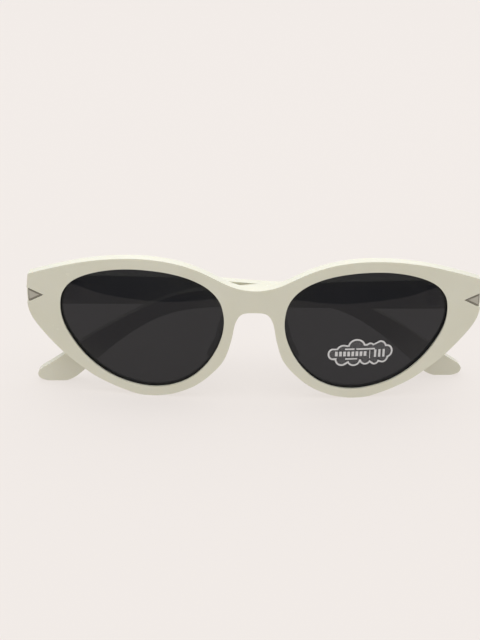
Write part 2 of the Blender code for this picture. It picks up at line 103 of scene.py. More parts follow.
ARM_OUTLINE = [
    (-1.3, 35.0, "c"), (8.0, 34.9, ""), (22.0, 34.6, ""), (42.0, 34.0, ""),
    (57.0, 32.9, ""), (68.0, 32.0, ""), (78.0, 31.4, ""), (86.5, 30.6, ""),
    (94.0, 28.6, ""), (101.5, 25.2, ""), (111.0, 20.1, ""), (118.0, 15.9, ""),
    (123.5, 12.0, ""), (128.0, 8.6, ""), (131.6, 6.2, ""), (134.6, 4.3, ""),
    (135.9, 2.5, ""), (135.0, 0.8, ""), (132.2, 0.0, "f"), (127.4, 0.0, "f"),
    (123.6, 1.5, ""), (118.0, 6.4, ""), (110.0, 13.4, ""), (101.5, 19.4, ""),
    (93.0, 23.3, ""), (83.0, 25.2, ""), (70.0, 25.7, ""), (52.0, 25.4, ""),
    (33.0, 25.2, ""), (14.0, 25.2, ""), (-1.3, 25.3, "c"),
]
WIRE_LINE = [
    (0.0, 30.3), (20.0, 30.1), (45.0, 29.7), (64.0, 29.0), (78.0, 28.4),
    (88.0, 27.0), (97.0, 24.0), (107.0, 18.6), (117.0, 12.4), (124.0, 8.1),
]
INLAY = [(71.2, 29.0), (71.2, 33.1), (66.6, 31.4)]
INLAY_TURN = 70.7
NOSE_PAD = [
    (6.8, 24.0), (8.7, 25.0), (10.0, 21.6), (11.3, 16.8), (13.4, 12.6),
    (13.2, 10.8), (11.0, 11.0), (9.2, 13.6), (7.8, 17.6), (6.9, 21.2),
]
LABEL_CENTRE = (33.6, 15.5)
LABEL_SIZE = (21.2, 9.8)
OUTLINE_STEPS = 6


# ------------------------------------------------------------------ materials
def nodes_of(name):
    mat = bpy.data.materials.new(name)
    mat.use_nodes = True
    tree = mat.node_tree
    return mat, tree, tree.nodes["Principled BSDF"]


def coords(tree, scale=(1, 1, 1)):
    tex = tree.nodes.new("ShaderNodeTexCoord")
    mapping = tree.nodes.new("ShaderNodeMapping")
    mapping.inputs["Scale"].default_value = scale
    tree.links.new(tex.outputs["Object"], mapping.inputs["Vector"])
    return mapping.outputs["Vector"]


def noise(tree, vector, scale, detail=3.0, rough=0.5):
    node = tree.nodes.new("ShaderNodeTexNoise")
    node.inputs["Scale"].default_value = scale
    node.inputs["Detail"].default_value = detail
    node.inputs["Roughness"].default_value = rough
    tree.links.new(vector, node.inputs["Vector"])
    return node.outputs["Fac"]


def ramp(tree, fac, stops):
    node = tree.nodes.new("ShaderNodeValToRGB")
    elements = node.color_ramp.elements
    while len(elements) < len(stops):
        elements.new(0.5)
    for element, (at, colour) in zip(elements, stops):
        element.position = at
        element.color = (*colour, 1.0) if len(colour) == 3 else colour
    tree.links.new(fac, node.inputs["Fac"])
    return node.outputs["Color"]


def bump(tree, shader, height, strength, distance, normal=None):
    node = tree.nodes.new("ShaderNodeBump")
    node.inputs["Strength"].default_value = strength
    node.inputs["Distance"].default_value = distance
    tree.links.new(height, node.inputs["Height"])
    if normal is not None:
        tree.links.new(normal, node.inputs["Normal"])
    tree.links.new(node.outputs["Normal"], shader.inputs["Normal"])
    return node.outputs["Normal"]


def ivory(name, warm=1.0):
    """Polished moulded acetate: faint clouding, a soft depth and tumbled gloss."""
    mat, tree, shader = nodes_of(name)
    vec = coords(tree)
    cloud = noise(tree, vec, 55.0, 2.0, 0.5)
    base = ramp(tree, cloud, [
        (0.30, (0.719 * warm, 0.706 * warm, 0.576)),
        (0.70, (0.749 * warm, 0.741 * warm, 0.616))])
    tree.links.new(base, shader.inputs["Base Color"])
    fine = noise(tree, vec, 420.0, 3.0, 0.5)
    rough = ramp(tree, fine, [(0.1, (0.22, 0.22, 0.22)), (0.9, (0.29, 0.29, 0.29))])
    tree.links.new(rough, shader.inputs["Roughness"])
    shader.inputs["IOR"].default_value = 1.49
    shader.inputs["Subsurface Weight"].default_value = 0.12
    shader.inputs["Subsurface Radius"].default_value = (1.0, 0.85, 0.55)
    shader.inputs["Subsurface Scale"].default_value = 0.0012
    shader.inputs["Coat Weight"].default_value = 0.25
    shader.inputs["Coat Roughness"].default_value = 0.08
    waves = noise(tree, vec, 140.0, 2.0, 0.5)
    n1 = bump(tree, shader, waves, 0.05, 0.0001)
    bump(tree, shader, fine, 0.02, 0.00002, n1)
    return mat


def smoke(name):
    """Dark tinted lens: polished, slightly see-through, with a trace of haze."""
    mat, tree, shader = nodes_of(name)
    vec = coords(tree)
    tint = noise(tree, vec, 30.0, 2.0, 0.5)
    base = ramp(tree, tint, [(0.3, (0.0030, 0.0034, 0.0062)),
                             (0.7, (0.0052, 0.0056, 0.0096))])
    tree.links.new(base, shader.inputs["Base Color"])
    smear = noise(tree, vec, 160.0, 4.0, 0.6)
    rough = ramp(tree, smear, [(0.35, (0.015, 0.015, 0.015)),
                               (0.8, (0.045, 0.045, 0.045))])
    tree.links.new(rough, shader.inputs["Roughness"])
    shader.inputs["IOR"].default_value = 1.5
    shader.inputs["Specular IOR Level"].default_value = 0.36
    shader.inputs["Alpha"].default_value = 0.86
    bump(tree, shader, smear, 0.02, 0.00002)
    return mat


def steel(name, colour=(0.56, 0.54, 0.50), rough=(0.22, 0.40), grain=(40, 900, 900),
          metallic=1.0):
    """Brushed or tumbled steel with a directional grain."""
    mat, tree, shader = nodes_of(name)
    shader.inputs["Metallic"].default_value = metallic
    vec = coords(tree, grain)
    streak = noise(tree, vec, 1.0, 6.0, 0.65)
    base = ramp(tree, streak, [
        (0.25, tuple(c * 0.86 for c in colour)), (0.8, colour)])
    tree.links.new(base, shader.inputs["Base Color"])
    tree.links.new(ramp(tree, streak, [(0.2, (rough[0],) * 3), (0.8, (rough[1],) * 3)]),
                   shader.inputs["Roughness"])
    bump(tree, shader, streak, 0.12, 0.00005)
    return mat


def film_material(name):
    mat, tree, shader = nodes_of(name)
    vec = coords(tree)
    crease = noise(tree, vec, 260.0, 4.0, 0.6)
    tree.links.new(ramp(tree, crease, [(0.3, (0.16, 0.16, 0.165)),
                                       (0.7, (0.22, 0.22, 0.23))]),
                   shader.inputs["Base Color"])
    shader.inputs["Roughness"].default_value = 0.22
    shader.inputs["Alpha"].default_value = 0.22
    bump(tree, shader, crease, 0.15, 0.00005)
    return mat


def ink_material(name, level=0.72):
    mat, tree, shader = nodes_of(name)
    vec = coords(tree)
    mottle = noise(tree, vec, 900.0, 3.0, 0.6)
    tree.links.new(ramp(tree, mottle, [(0.3, (level * 0.86,) * 3), (0.7, (level,) * 3)]),
                   shader.inputs["Base Color"])
    shader.inputs["Roughness"].default_value = 0.5
    bump(tree, shader, mottle, 0.1, 0.00003)
    return mat


M_FRONT = ivory("ivory_front")
M_PAD = ivory("ivory_pad")
M_TEMPLE = {n: ivory(f"ivory_temple_{n}", 0.99) for n in SIDES}
M_LENS = smoke("smoke_lens")
M_INLAY = steel("inlay_rim_steel", (0.30, 0.28, 0.23), (0.42, 0.60), metallic=0.5)
M_INLAY_FACE = steel("inlay_face_satin", (0.56, 0.54, 0.46), (0.38, 0.55),
                     metallic=0.35)
M_HINGE = steel("hinge_steel", (0.60, 0.585, 0.56), (0.20, 0.36))
M_SCREW = steel("screw_steel", (0.64, 0.63, 0.60), (0.16, 0.30), (400, 400, 60))
M_WIRE = steel("core_wire_steel", (0.50, 0.49, 0.47), (0.25, 0.42), (60, 700, 700))
M_FILM = film_material("label_film")
M_INK = ink_material("label_ink")


# ------------------------------------------------------------ mesh functions
def smooth_loop(points, steps):
    pts = [(p[0], p[1], p[2] if len(p) > 2 else "") for p in points]
    n, out = len(pts), []

    def tangent(i, side):
        a, b, c = pts[i - 1], pts[i], pts[(i + 1) % n]
        if b[2] == "c":
            far = c if side > 0 else a
            return ((far[0] - b[0]) * side * 0.6, (far[1] - b[1]) * side * 0.6)
        if b[2] == "f":
            return (0.25 * (c[0] - a[0]), 0.0)
        return ((c[0] - a[0]) * 0.5, (c[1] - a[1]) * 0.5)

    for i in range(n):
        a, b = pts[i], pts[(i + 1) % n]
        if a[2] == b[2] and a[2] in ("c", "f"):
            out.append((a[0], a[1]))
            continue
        ta, tb = tangent(i, 1), tangent((i + 1) % n, -1)
        for k in range(steps):
            t = k / steps
            h00, h10 = 2 * t**3 - 3 * t**2 + 1, t**3 - 2 * t**2 + t
            h01, h11 = -2 * t**3 + 3 * t**2, t**3 - t**2
            out.append(tuple(h00 * a[j] + h10 * ta[j] + h01 * b[j] + h11 * tb[j]
                             for j in (0, 1)))
    return out


def offset_loop(loop, distance):
    area = sum(loop[i - 1][0] * loop[i][1] - loop[i][0] * loop[i - 1][1]
               for i in range(len(loop)))
    sign = 1.0 if area > 0 else -1.0
    out = []
    for i, p in enumerate(loop):
        a, b = Vector(loop[i - 1]), Vector(loop[(i + 1) % len(loop)])
        q = Vector(p)
        n1 = Vector(((q - a).y, -(q - a).x)).normalized() * sign
        n2 = Vector(((b - q).y, -(b - q).x)).normalized() * sign
        n = (n1 + n2).normalized()
        out.append(tuple(q + n * (distance / max(n.dot(n1), 0.35))))
    return out


def sag(x):
    return x * x / (2.0 * FACE_RADIUS)


def mirrored(points, side):
    return [(side * p[0],) + tuple(p[1:]) for p in points]


def curve_mesh(obj, name):
    bpy.context.scene.collection.objects.link(obj)
    bpy.context.view_layer.update()
    graph = bpy.context.evaluated_depsgraph_get()
    mesh = bpy.data.meshes.new_from_object(obj.evaluated_get(graph))
    mesh.transform(obj.matrix_world)
    mesh.name = name
    bm = bmesh.new()
    bm.from_mesh(mesh)
    bmesh.ops.remove_doubles(bm, verts=bm.verts, dist=0.000005)
    bmesh.ops.recalc_face_normals(bm, faces=bm.faces)
    bm.to_mesh(mesh)
    bm.free()
    bpy.data.objects.remove(obj, do_unlink=True)
    return mesh


def plate(name, loops, thickness, middle):
    curve = bpy.data.curves.new(name, "CURVE")
    curve.dimensions = "2D"
    curve.fill_mode = "BOTH"
    curve.extrude = 0.5 * thickness * MM
    for loop in loops:
        spline = curve.splines.new("POLY")
        spline.points.add(len(loop) - 1)
        for point, (x, z) in zip(spline.points, loop):
            point.co = (x * MM, z * MM, 0.0, 1.0)
        spline.use_cyclic_u = True
    obj = bpy.data.objects.new(name + "_outline", curve)
    obj.rotation_euler = (math.pi / 2, 0.0, 0.0)
    obj.location = (0.0, middle * MM, 0.0)
    return curve_mesh(obj, name)


def slice_mesh(mesh, cuts, normal=(1, 0, 0)):
    bm = bmesh.new()
    bm.from_mesh(mesh)
    for cut in cuts:
        bmesh.ops.bisect_plane(
            bm, geom=bm.verts[:] + bm.edges[:] + bm.faces[:], dist=1e-7,
            plane_co=[c * cut * MM for c in normal], plane_no=normal)
    bm.to_mesh(mesh)
    bm.free()


def bend(mesh, step):
    count = int(74 / step) + 1
    slice_mesh(mesh, [k * step for k in range(-count, count + 1)])
    for vertex in mesh.vertices:
        vertex.co.y += sag(vertex.co.x / MM) * MM


def temp(mesh, mods=()):
    obj = bpy.data.objects.new(mesh.name + "_work", mesh)
    bpy.context.scene.collection.objects.link(obj)
    for mod in mods:
        mod(obj)
    return obj


def bevelled(width, segments, angle=50.0):
    def add(obj):
        mod = obj.modifiers.new("round", "BEVEL")
        mod.width = width * MM
        mod.segments = segments
        mod.limit_method = "ANGLE"
        mod.angle_limit = math.radians(angle)
    return add


def joined(other, operation="DIFFERENCE"):
    def add(obj):
        mod = obj.modifiers.new("bool", "BOOLEAN")
        mod.operation = operation
        mod.solver = "EXACT"
        mod.object = other
    return add


def cook(obj, cutters=()):
    """The mesh as its modifiers leave it; the work objects are removed."""
    bpy.context.view_layer.update()
    graph = bpy.context.evaluated_depsgraph_get()
    mesh = bpy.data.meshes.new_from_object(obj.evaluated_get(graph))
    for other in (obj, *cutters):
        bpy.data.objects.remove(other, do_unlink=True)
    return mesh


def box_mesh(name, low, high):
    bm = bmesh.new()
    bmesh.ops.create_cube(bm, size=1.0)
    bmesh.ops.scale(bm, vec=[abs(b - a) * MM for a, b in zip(low, high)],
                    verts=bm.verts)
    bmesh.ops.translate(bm, vec=[0.5 * (a + b) * MM for a, b in zip(low, high)],
                        verts=bm.verts)
    mesh = bpy.data.meshes.new(name)
    bm.to_mesh(mesh)
    bm.free()
    return mesh


def turned(name, profile, segments=48, turn=None, move=(0, 0, 0)):
    """A solid of revolution about Z from (radius, height) points, low to high."""
    bm = bmesh.new()
    rings = []
    for radius, height in profile:
        rings.append([bm.verts.new((
            radius * MM * math.cos(math.tau * k / segments),
            radius * MM * math.sin(math.tau * k / segments), height * MM))
            for k in range(segments)])
    for a, b in zip(rings, rings[1:]):
        for k in range(segments):
            m = (k + 1) % segments
            bm.faces.new((a[k], a[m], b[m], b[k]))
    bm.faces.new(list(reversed(rings[0])))
    bm.faces.new(rings[-1])
    bmesh.ops.recalc_face_normals(bm, faces=bm.faces)
    if turn is not None:
        bmesh.ops.transform(bm, matrix=turn, verts=bm.verts)
    bmesh.ops.translate(bm, vec=[m * MM for m in move], verts=bm.verts)
    mesh = bpy.data.meshes.new(name)
    bm.to_mesh(mesh)
    bm.free()
    return mesh


def piece(name, mesh, mat, body, nodes, matrix=None, sharp=38.0, weight=True):
    """A finished piece: placed, shaded, riding on its body."""
    if matrix is not None:
        mesh.transform(matrix)
    mesh.name = name
    mesh.materials.clear()
    mesh.materials.append(mat)
    mesh.shade_smooth()
    mesh.set_sharp_from_angle(angle=math.radians(sharp))
    obj = bpy.data.objects.new(name, mesh)
    bpy.context.scene.collection.objects.link(obj)
    if weight:
        mod = obj.modifiers.new("weighted", "WEIGHTED_NORMAL")
        mod.keep_sharp = True
        mod.weight = 60
        mod.mode = "FACE_AREA"
    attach(obj, body)
    if nodes:
        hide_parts(*nodes)
    return obj


TO_FRONT = Matrix.Translation((0, SHIFT, 0))
TO_TEMPLE = {n: Matrix.Translation((PIVOT[n].x, PIVOT[n].y, 0))
             @ Matrix.Rotation(math.radians(FOLD[n]), 4, "Z") for n in SIDES}

# ------------------------------------------------------------------ the front
whole = FRONT_OUTLINE + [(-x, z, m) for x, z, m in reversed(FRONT_OUTLINE[1:-1])]
outer = smooth_loop(whole, OUTLINE_STEPS)
openings = {n: smooth_loop(mirrored(LENS_OPENING, s), OUTLINE_STEPS)
            for n, s in SIDES.items()}
STEP = 2.0
front_mesh = plate("front", [outer, openings["left"], openings["right"]],
                   FRONT_THICK, FRONT_THICK / 2)
bend(front_mesh, STEP)
work = temp(front_mesh, [bevelled(1.25, 5)])
cutters = []
for name, side in SIDES.items():
    block = plate(f"block_{name}", [mirrored([
        (63.3, 26.4), (64.6, 25.1), (69.0, 25.1), (70.3, 26.6), (71.0, 29.4),
        (70.6, 34.4), (69.2, 35.9), (66.3, 37.0), (64.6, 37.0), (63.3, 35.8)],
        side)], 5.0, ENDPIECE_BACK - 2.5)
    block_obj = temp(block, [bevelled(0.45, 3, 60)])
    cutters.append(block_obj)
    joined(block_obj, "UNION")(work)
    groove = plate(f"groove_{name}", [offset_loop(openings[name], 0.9)], 2.5, 2.2)
    bend(groove, STEP)
    cutters.append(temp(groove))
    joined(cutters[-1])(work)
    recess = plate(f"recess_{name}", [mirrored([
        (75.0, 28.75), (71.2, 28.75), (66.2, 31.4), (71.2, 33.35), (75.0, 33.35)],
        side)], 3.0, -0.75)
    slice_mesh(recess, [s * x for s in (-1, 1) for x in (67.5, 68.5, 69.5, 70.2, INLAY_TURN)])
    for vertex in recess.vertices:
        x = abs(vertex.co.x / MM)
        vertex.co.y += (sag(x) + max(0.0, x - INLAY_TURN) * 0.9) * MM
    cutters.append(temp(recess))
    joined(cutters[-1])(work)
    pocket = box_mesh(f"pocket_{name}", (side * (HINGE_X - 1.1), 9.2, HINGE_Z - 4.3),
                      (side * (HINGE_X + 1.1), 14.0, HINGE_Z + 4.3))
    cutters.append(temp(pocket))
    joined(cutters[-1])(work)
piece("front_moulding", cook(work, cutters), M_FRONT, "front", ["front_frame"],
      TO_FRONT)


# ----------------------------------------------------------------- the lenses
def lens_depth(x, reach):
    return sag(x) + LENS_FROM - LENS_DOME * (1.0 - reach * reach)


def lens_mesh(name, loop, side):
    cx, cz = LENS_CENTRE[0] * side, LENS_CENTRE[1]
    reaches = [1.0] + [1.0 - (k / 12.0) ** 1.25 for k in range(1, 12)]
    inset = offset_loop(loop, -0.12)
    bm = bmesh.new()

    n = len(loop)
    front_rings = []
    back_rings = []
    for j, reach in enumerate(reaches):
        for rings, offset in ((front_rings, 0.0), (back_rings, LENS_THICK)):
            rings.append([bm.verts.new((
                (cx + (x - cx) * reach) * MM,
                (lens_depth(cx + (x - cx) * reach, reach) + offset) * MM,
                (cz + (z - cz) * reach) * MM)) for x, z in (inset if j == 0 else loop)])
    middles = [bm.verts.new((cx * MM, (lens_depth(cx, 0.0) + offset) * MM, cz * MM))
               for offset in (0.0, LENS_THICK)]
    # rounded edge: two loops at the full outline between the two faces
    edge = [[bm.verts.new((x * MM, (lens_depth(x, 1.0) + offset) * MM, z * MM))
             for x, z in loop] for offset in (0.14, LENS_THICK - 0.14)]
    chain = list(reversed(front_rings)) + edge + back_rings
    for a, b in zip(chain, chain[1:]):
        for i in range(n):
            bm.faces.new((a[i], a[(i + 1) % n], b[(i + 1) % n], b[i]))
    for ring, mid in ((front_rings[-1], middles[0]), (back_rings[-1], middles[1])):
        for i in range(n):
            bm.faces.new((ring[i], ring[(i + 1) % n], mid))
    bmesh.ops.recalc_face_normals(bm, faces=bm.faces)
    mesh = bpy.data.meshes.new(name)
    bm.to_mesh(mesh)
    bm.free()
    return mesh


for name, side in SIDES.items():
    piece(f"{name}_lens", lens_mesh(f"{name}_lens", offset_loop(
        openings[name], LENS_LIP), side), M_LENS, "front", [f"lens_{name}"],
        TO_FRONT, weight=False)

# ------------------------------------------------------------------ the label
lens_edge = [Vector((x - LENS_CENTRE[0], z - LENS_CENTRE[1]))
             for x, z in offset_loop(openings["left"], LENS_LIP)]
edge_angles = np.array([math.atan2(v.y, v.x) for v in lens_edge])
edge_radii = np.array([v.length for v in lens_edge])
order = np.argsort(edge_angles)
edge_angles, edge_radii = edge_angles[order], edge_radii[order]


def on_lens(x, z, lift):
    """A point on the left lens's front surface, lifted towards the viewer."""
    dx, dz = x - LENS_CENTRE[0], z - LENS_CENTRE[1]
    radius = float(np.interp(math.atan2(dz, dx), edge_angles, edge_radii,
                             period=math.tau))
    reach = math.hypot(dx, dz) / radius
    return (x * MM, (lens_depth(x, reach) - lift) * MM, z * MM)


def drape(mesh, lift, thick):
    """Lay a flat outline mesh, modelled at depth 0, on the lens."""
    for vertex in mesh.vertices:
        x, y, z = (c / MM for c in vertex.co)
        extra = lift + (thick if y < 0 else 0.0)
        vertex.co = on_lens(x, z, extra)


LOBES = [  # a scalloped oval, a generic cloud: centre x, z and the two radii
    (-8.5, -0.5, 1.9, 2.1), (-5.3, 0.4, 2.5, 2.4), (-1.2, 1.9, 2.9, 2.8),
    (3.1, 1.3, 1.7, 2.1), (6.3, 1.7, 2.1, 2.3), (8.5, 0.2, 1.9, 2.3),
    (-5.8, -2.2, 2.3, 2.4), (-2.0, -2.4, 2.3, 2.3), (1.7, -2.2, 2.0, 2.1),
    (4.6, -2.3, 1.8, 2.1), (7.2, -1.6, 1.9, 2.2), (0.0, 0.0, 8.4, 3.0),
]


def cloud_loop(inset=0.0, count=240):
    """The outline of the cloud, drawn in by an even distance."""
    loop = []
    for k in range(count):
        angle = math.tau * k / count
        ca, sa = math.cos(angle), math.sin(angle)
        best = 0.0
        for lx, lz, rx, rz in LOBES:
            rx, rz = rx - inset, rz - inset
            # where the ray from the middle leaves this lobe
            aa = (ca / rx) ** 2 + (sa / rz) ** 2
            bb = -2 * (lx * ca / rx**2 + lz * sa / rz**2)
            cc = (lx / rx) ** 2 + (lz / rz) ** 2 - 1
            disc = bb * bb - 4 * aa * cc
            if disc >= 0:
                best = max(best, (-bb + math.sqrt(disc)) / (2 * aa))
        loop.append((LABEL_CENTRE[0] + ca * best, LABEL_CENTRE[1] + sa * best))
    return loop


def film_plate(name, loops, lift, thick, step=1.2):
    mesh = plate(name, loops, 0.2, 0.0)
    cx, cz = LABEL_CENTRE
    slice_mesh(mesh, [cx + k * step for k in range(-10, 11)])
    slice_mesh(mesh, [cz + k * step for k in range(-5, 6)], (0, 0, 1))
    drape(mesh, lift, thick)
    return mesh


cloud = cloud_loop()
film = film_plate("film", [cloud], 0.17, 0.10)
piece("label_film", film, M_FILM, "front", ["lens_label"], TO_FRONT,
      weight=False)
ink = [("label_outline", [cloud_loop(0.08), cloud_loop(0.62)])]


def bar(x0, x1, z0, z1):
    return [(x0, z0), (x1, z0), (x1, z1), (x0, z1)]


cx, cz = LABEL_CENTRE
bars = [bar(cx - 4.9, cx - 1.9, cz + 0.95, cz + 1.45),
        bar(cx - 1.3, cx + 4.6, cz + 0.95, cz + 1.45),
        bar(cx - 4.7, cx - 0.9, cz - 2.35, cz - 1.90)]
for k in range(8):
    x0 = cx - 8.0 + k * 1.30
    bars.append(bar(x0, x0 + 0.85, cz - 1.2, cz + 0.4))
bars.append(bar(cx + 2.9, cx + 3.15, cz - 2.0, cz + 0.7))
for k in range(3):
    bars.append(bar(cx + 4.4 + k * 1.35, cx + 5.1 + k * 1.35, cz - 1.7, cz + 0.9))
ink.append(("label_bars", None))
for k, (label, loops) in enumerate(ink):
    if loops is None:
        parts = [film_plate(f"bar_{i}", [b], 0.285, 0.03, 1.2)
                 for i, b in enumerate(bars)]
        bm = bmesh.new()
        for mesh in parts:
            bm.from_mesh(mesh)
            bpy.data.meshes.remove(mesh)
        mesh = bpy.data.meshes.new(label)
        bm.to_mesh(mesh)
        bm.free()
    else:
        mesh = film_plate(label, loops, 0.285, 0.03)
    piece(label, mesh, M_INK, "front", [], TO_FRONT, weight=False)

# ------------------------------------------------- inlays, nose pads, hinges
for name, side in SIDES.items():
    for label, inset, thick, middle, mat, nodes in (
            ("endpiece_inlay", 0.0, 0.42, 0.29, M_INLAY, [f"endpiece_inlay_{name}"]),
            ("inlay_face", 0.42, 0.10, 0.06, M_INLAY_FACE, [])):
        shape = offset_loop(mirrored(INLAY, side), -inset) if inset else mirrored(
            INLAY, side)
        inlay = plate(f"{label}_{name}", [shape], thick, middle)
        slice_mesh(inlay, [s * x for s in (-1, 1)
                           for x in (67.5, 68.5, 69.5, 70.2, INLAY_TURN)])
        for vertex in inlay.vertices:
            x = abs(vertex.co.x / MM)
            vertex.co.y += (sag(x) + max(0.0, x - INLAY_TURN) * 0.9) * MM
        piece(f"{name}_{label}", cook(temp(inlay, [bevelled(0.03, 2, 40)])), mat,
              "front", nodes, TO_FRONT, 25)

    pad = plate(f"pad_{name}", [smooth_loop(mirrored(NOSE_PAD, side), 4)], 4.2,
                FRONT_THICK + 0.45 + 2.1)
    for vertex in pad.vertices:
        behind = vertex.co.y / MM - (FRONT_THICK + 0.45)
        vertex.co.x += side * behind * 0.28 * MM
    piece(f"{name}_nose_pad", cook(temp(pad, [bevelled(1.0, 6)])), M_PAD, "front",
          [f"nose_pad_{name}"], TO_FRONT)

    z_low, z_high = HINGE_Z - 4.0, HINGE_Z + 4.0
    spans = [(z_low, z_low + 2.5), (z_high - 2.5, z_high)]

    def knuckle(z0, z1, move):
        return turned("knuckle", [(1.05, z0), (1.2, z0 + 0.06), (1.25, z0 + 0.2),
                                  (1.25, z1 - 0.2), (1.2, z1 - 0.06), (1.05, z1)],
                      move=move)

    at = (side * HINGE_X, HINGE_DEPTH, 0)
    base = temp(box_mesh("tang", (side * (HINGE_X - 0.8), 9.5, spans[0][0] + 0.02),
                         (side * (HINGE_X + 0.8), 13.0, spans[1][1] - 0.02)))
    extras = []
    for z0, z1 in spans:
        extras.append(temp(box_mesh("lug", (side * (HINGE_X - 0.8), 12.6, z0 + 0.05),
                                    (side * (HINGE_X + 0.8), HINGE_DEPTH, z1 - 0.05))))
        extras.append(temp(knuckle(z0, z1, at)))
    for extra in extras:
        joined(extra, "UNION")(base)
    bore = temp(turned("bore", [(0.7, HINGE_Z - 6), (0.7, HINGE_Z + 6)], move=at))
    joined(bore)(base)
    piece(f"{name}_front_hinge", cook(base, [*extras, bore]), M_HINGE, "front",
          [f"front_hinge_leaf_{name}"], TO_FRONT, 30)

    screw = temp(turned("screw", [
        (0.45, z_low + 0.3), (0.6, z_low + 0.45), (0.6, z_high + 0.12),
        (1.05, z_high + 0.121), (1.15, z_high + 0.2), (1.15, z_high + 0.45),
        (1.05, z_high + 0.6), (0.85, z_high + 0.68), (0.5, z_high + 0.7)], move=at))
    slot_cut = temp(box_mesh("slot", (side * HINGE_X - 2, HINGE_DEPTH - 0.16,
                                      z_high + 0.42),
                             (side * HINGE_X + 2, HINGE_DEPTH + 0.16, z_high + 2)))
    joined(slot_cut)(screw)
    piece(f"{name}_hinge_screw", cook(screw, [slot_cut]), M_SCREW, "front",
          [f"hinge_screw_{name}"], TO_FRONT, 30)

# ---------------------------------------------------------------- the temples
BACK = Matrix.Rotation(-math.pi / 2, 4, "X")
for name, side in SIDES.items():
    body = f"{name}_temple"
    middle = ARM_INNER + ARM_THICK / 2
    arm = plate(f"arm_{name}", [smooth_loop(mirrored(ARM_OUTLINE, -side),
                                            OUTLINE_STEPS)], ARM_THICK, middle)
    slice_mesh(arm, [-side * s for s in range(4, 137, 4)])
    for vertex in arm.vertices:
        s = abs(vertex.co.x / MM)
        thick = ARM_THICK + (ARM_THICK_TIP - ARM_THICK) * min(1.0, s / 137.0)
        vertex.co.y = (middle + (vertex.co.y / MM - middle) * thick / ARM_THICK) * MM
    work = temp(arm, [bevelled(1.2, 5)])

    def wire(name_, radius, first, last, sides):
        line = [(-side * first, middle, WIRE_LINE[0][1])]
        line += [(-side * s, middle, z) for s, z in WIRE_LINE]
        end, before = Vector(WIRE_LINE[-1]), Vector(WIRE_LINE[-2])
        tip = end + (end - before).normalized() * last
        line.append((-side * tip.x, middle, tip.y))
        curve = bpy.data.curves.new(name_, "CURVE")
        curve.dimensions = "3D"
        curve.bevel_depth = radius * MM
        curve.bevel_resolution = sides
        curve.use_fill_caps = True
        spline = curve.splines.new("POLY")
        spline.points.add(len(line) - 1)
        for point, co in zip(spline.points, line):
            point.co = (*[c * MM for c in co], 1.0)
        return curve_mesh(bpy.data.objects.new(name_ + "_line", curve), name_)

    channel = temp(wire("channel", 0.95, -3.0, 1.2, 3))
    joined(channel)(work)
    holes = []
    for label, height in (("upper", HINGE_Z + 2.35), ("lower", HINGE_Z - 2.35)):
        spot = (-side * 6.6, 0.0, height)
        hole = temp(turned("hole", [(1.6, 0.2), (0.85, 0.95), (0.85, 4.5)],
                           turn=BACK, move=spot))
        holes.append(hole)
        joined(hole)(work)
        rivet = turned("rivet", [(0.55, 0.5), (0.95, 0.52), (1.05, 0.58),
                                 (0.6, 0.95), (0.6, 4.1), (0.45, 4.2)],
                       turn=BACK, move=spot)
        piece(f"{name}_{label}_temple_rivet", rivet, M_SCREW, body,
              [f"temple_rivet_{label}_{name}"], TO_TEMPLE[name], 30)
    arm_mesh = cook(work, [channel])
    piece(f"{name}_arm", arm_mesh, M_TEMPLE[name], body, [f"temple_{name}"],
          TO_TEMPLE[name])
    piece(f"{name}_core_wire", wire("core", 0.6, -0.8, 0.6, 4), M_WIRE, body,
          [f"temple_core_wire_{name}"], TO_TEMPLE[name], weight=False)

    z0, z1 = HINGE_Z - 1.25, HINGE_Z + 1.25
    leaf = temp(box_mesh("leaf", (-side * 1.95, 0.5, HINGE_Z - 3.7),
                         (-side * 10.5, 1.4, HINGE_Z + 3.7)),
                [bevelled(0.25, 3)])
    lug = temp(box_mesh("lug", (0.0, 0.45, z0 + 0.05), (-side * 2.6, 1.24, z1 - 0.05)))
    ring = temp(turned("ring", [(1.05, z0), (1.2, z0 + 0.06), (1.25, z0 + 0.2),
                                (1.25, z1 - 0.2), (1.2, z1 - 0.06), (1.05, z1)]))
    bore = temp(turned("bore", [(0.7, HINGE_Z - 3), (0.7, HINGE_Z + 3)]))
    for mod in (joined(lug, "UNION"), joined(ring, "UNION"), joined(bore),
                *[joined(h) for h in holes]):
        mod(leaf)
    piece(f"{name}_temple_hinge", cook(leaf, [lug, ring, bore, *holes]), M_HINGE,
          body, [f"temple_hinge_leaf_{name}"], TO_TEMPLE[name], 30)

# ------------------------------------------------------------ floor and lights
def sheet_of_floor(name, x0, x1, y0, y1, z, colour, rough):
    bm = bmesh.new()
    bmesh.ops.create_grid(bm, x_segments=8, y_segments=8, size=0.5)
    for vertex in bm.verts:
        vertex.co.x = x0 + (vertex.co.x + 0.5) * (x1 - x0)
        vertex.co.y = y0 + (vertex.co.y + 0.5) * (y1 - y0)
        vertex.co.z = z
    mesh = bpy.data.meshes.new(name)
    bm.to_mesh(mesh)
    bm.free()
    mat, tree, shader = nodes_of(name + "_finish")
    vec = coords(tree)
    tree.links.new(ramp(tree, noise(tree, vec, 2.0, 2.0), [
        (0.3, tuple(c * 0.992 for c in colour)), (0.7, colour)]),
        shader.inputs["Base Color"])
    shader.inputs["Roughness"].default_value = rough
    shader.inputs["Specular IOR Level"].default_value = 0.1
    shader.inputs["Emission Color"].default_value = (*GLOW, 1.0)
    shader.inputs["Emission Strength"].default_value = 1.0
    mesh.materials.append(mat)
    obj = bpy.data.objects.new(name, mesh)
    bpy.context.scene.collection.objects.link(obj)
    return obj


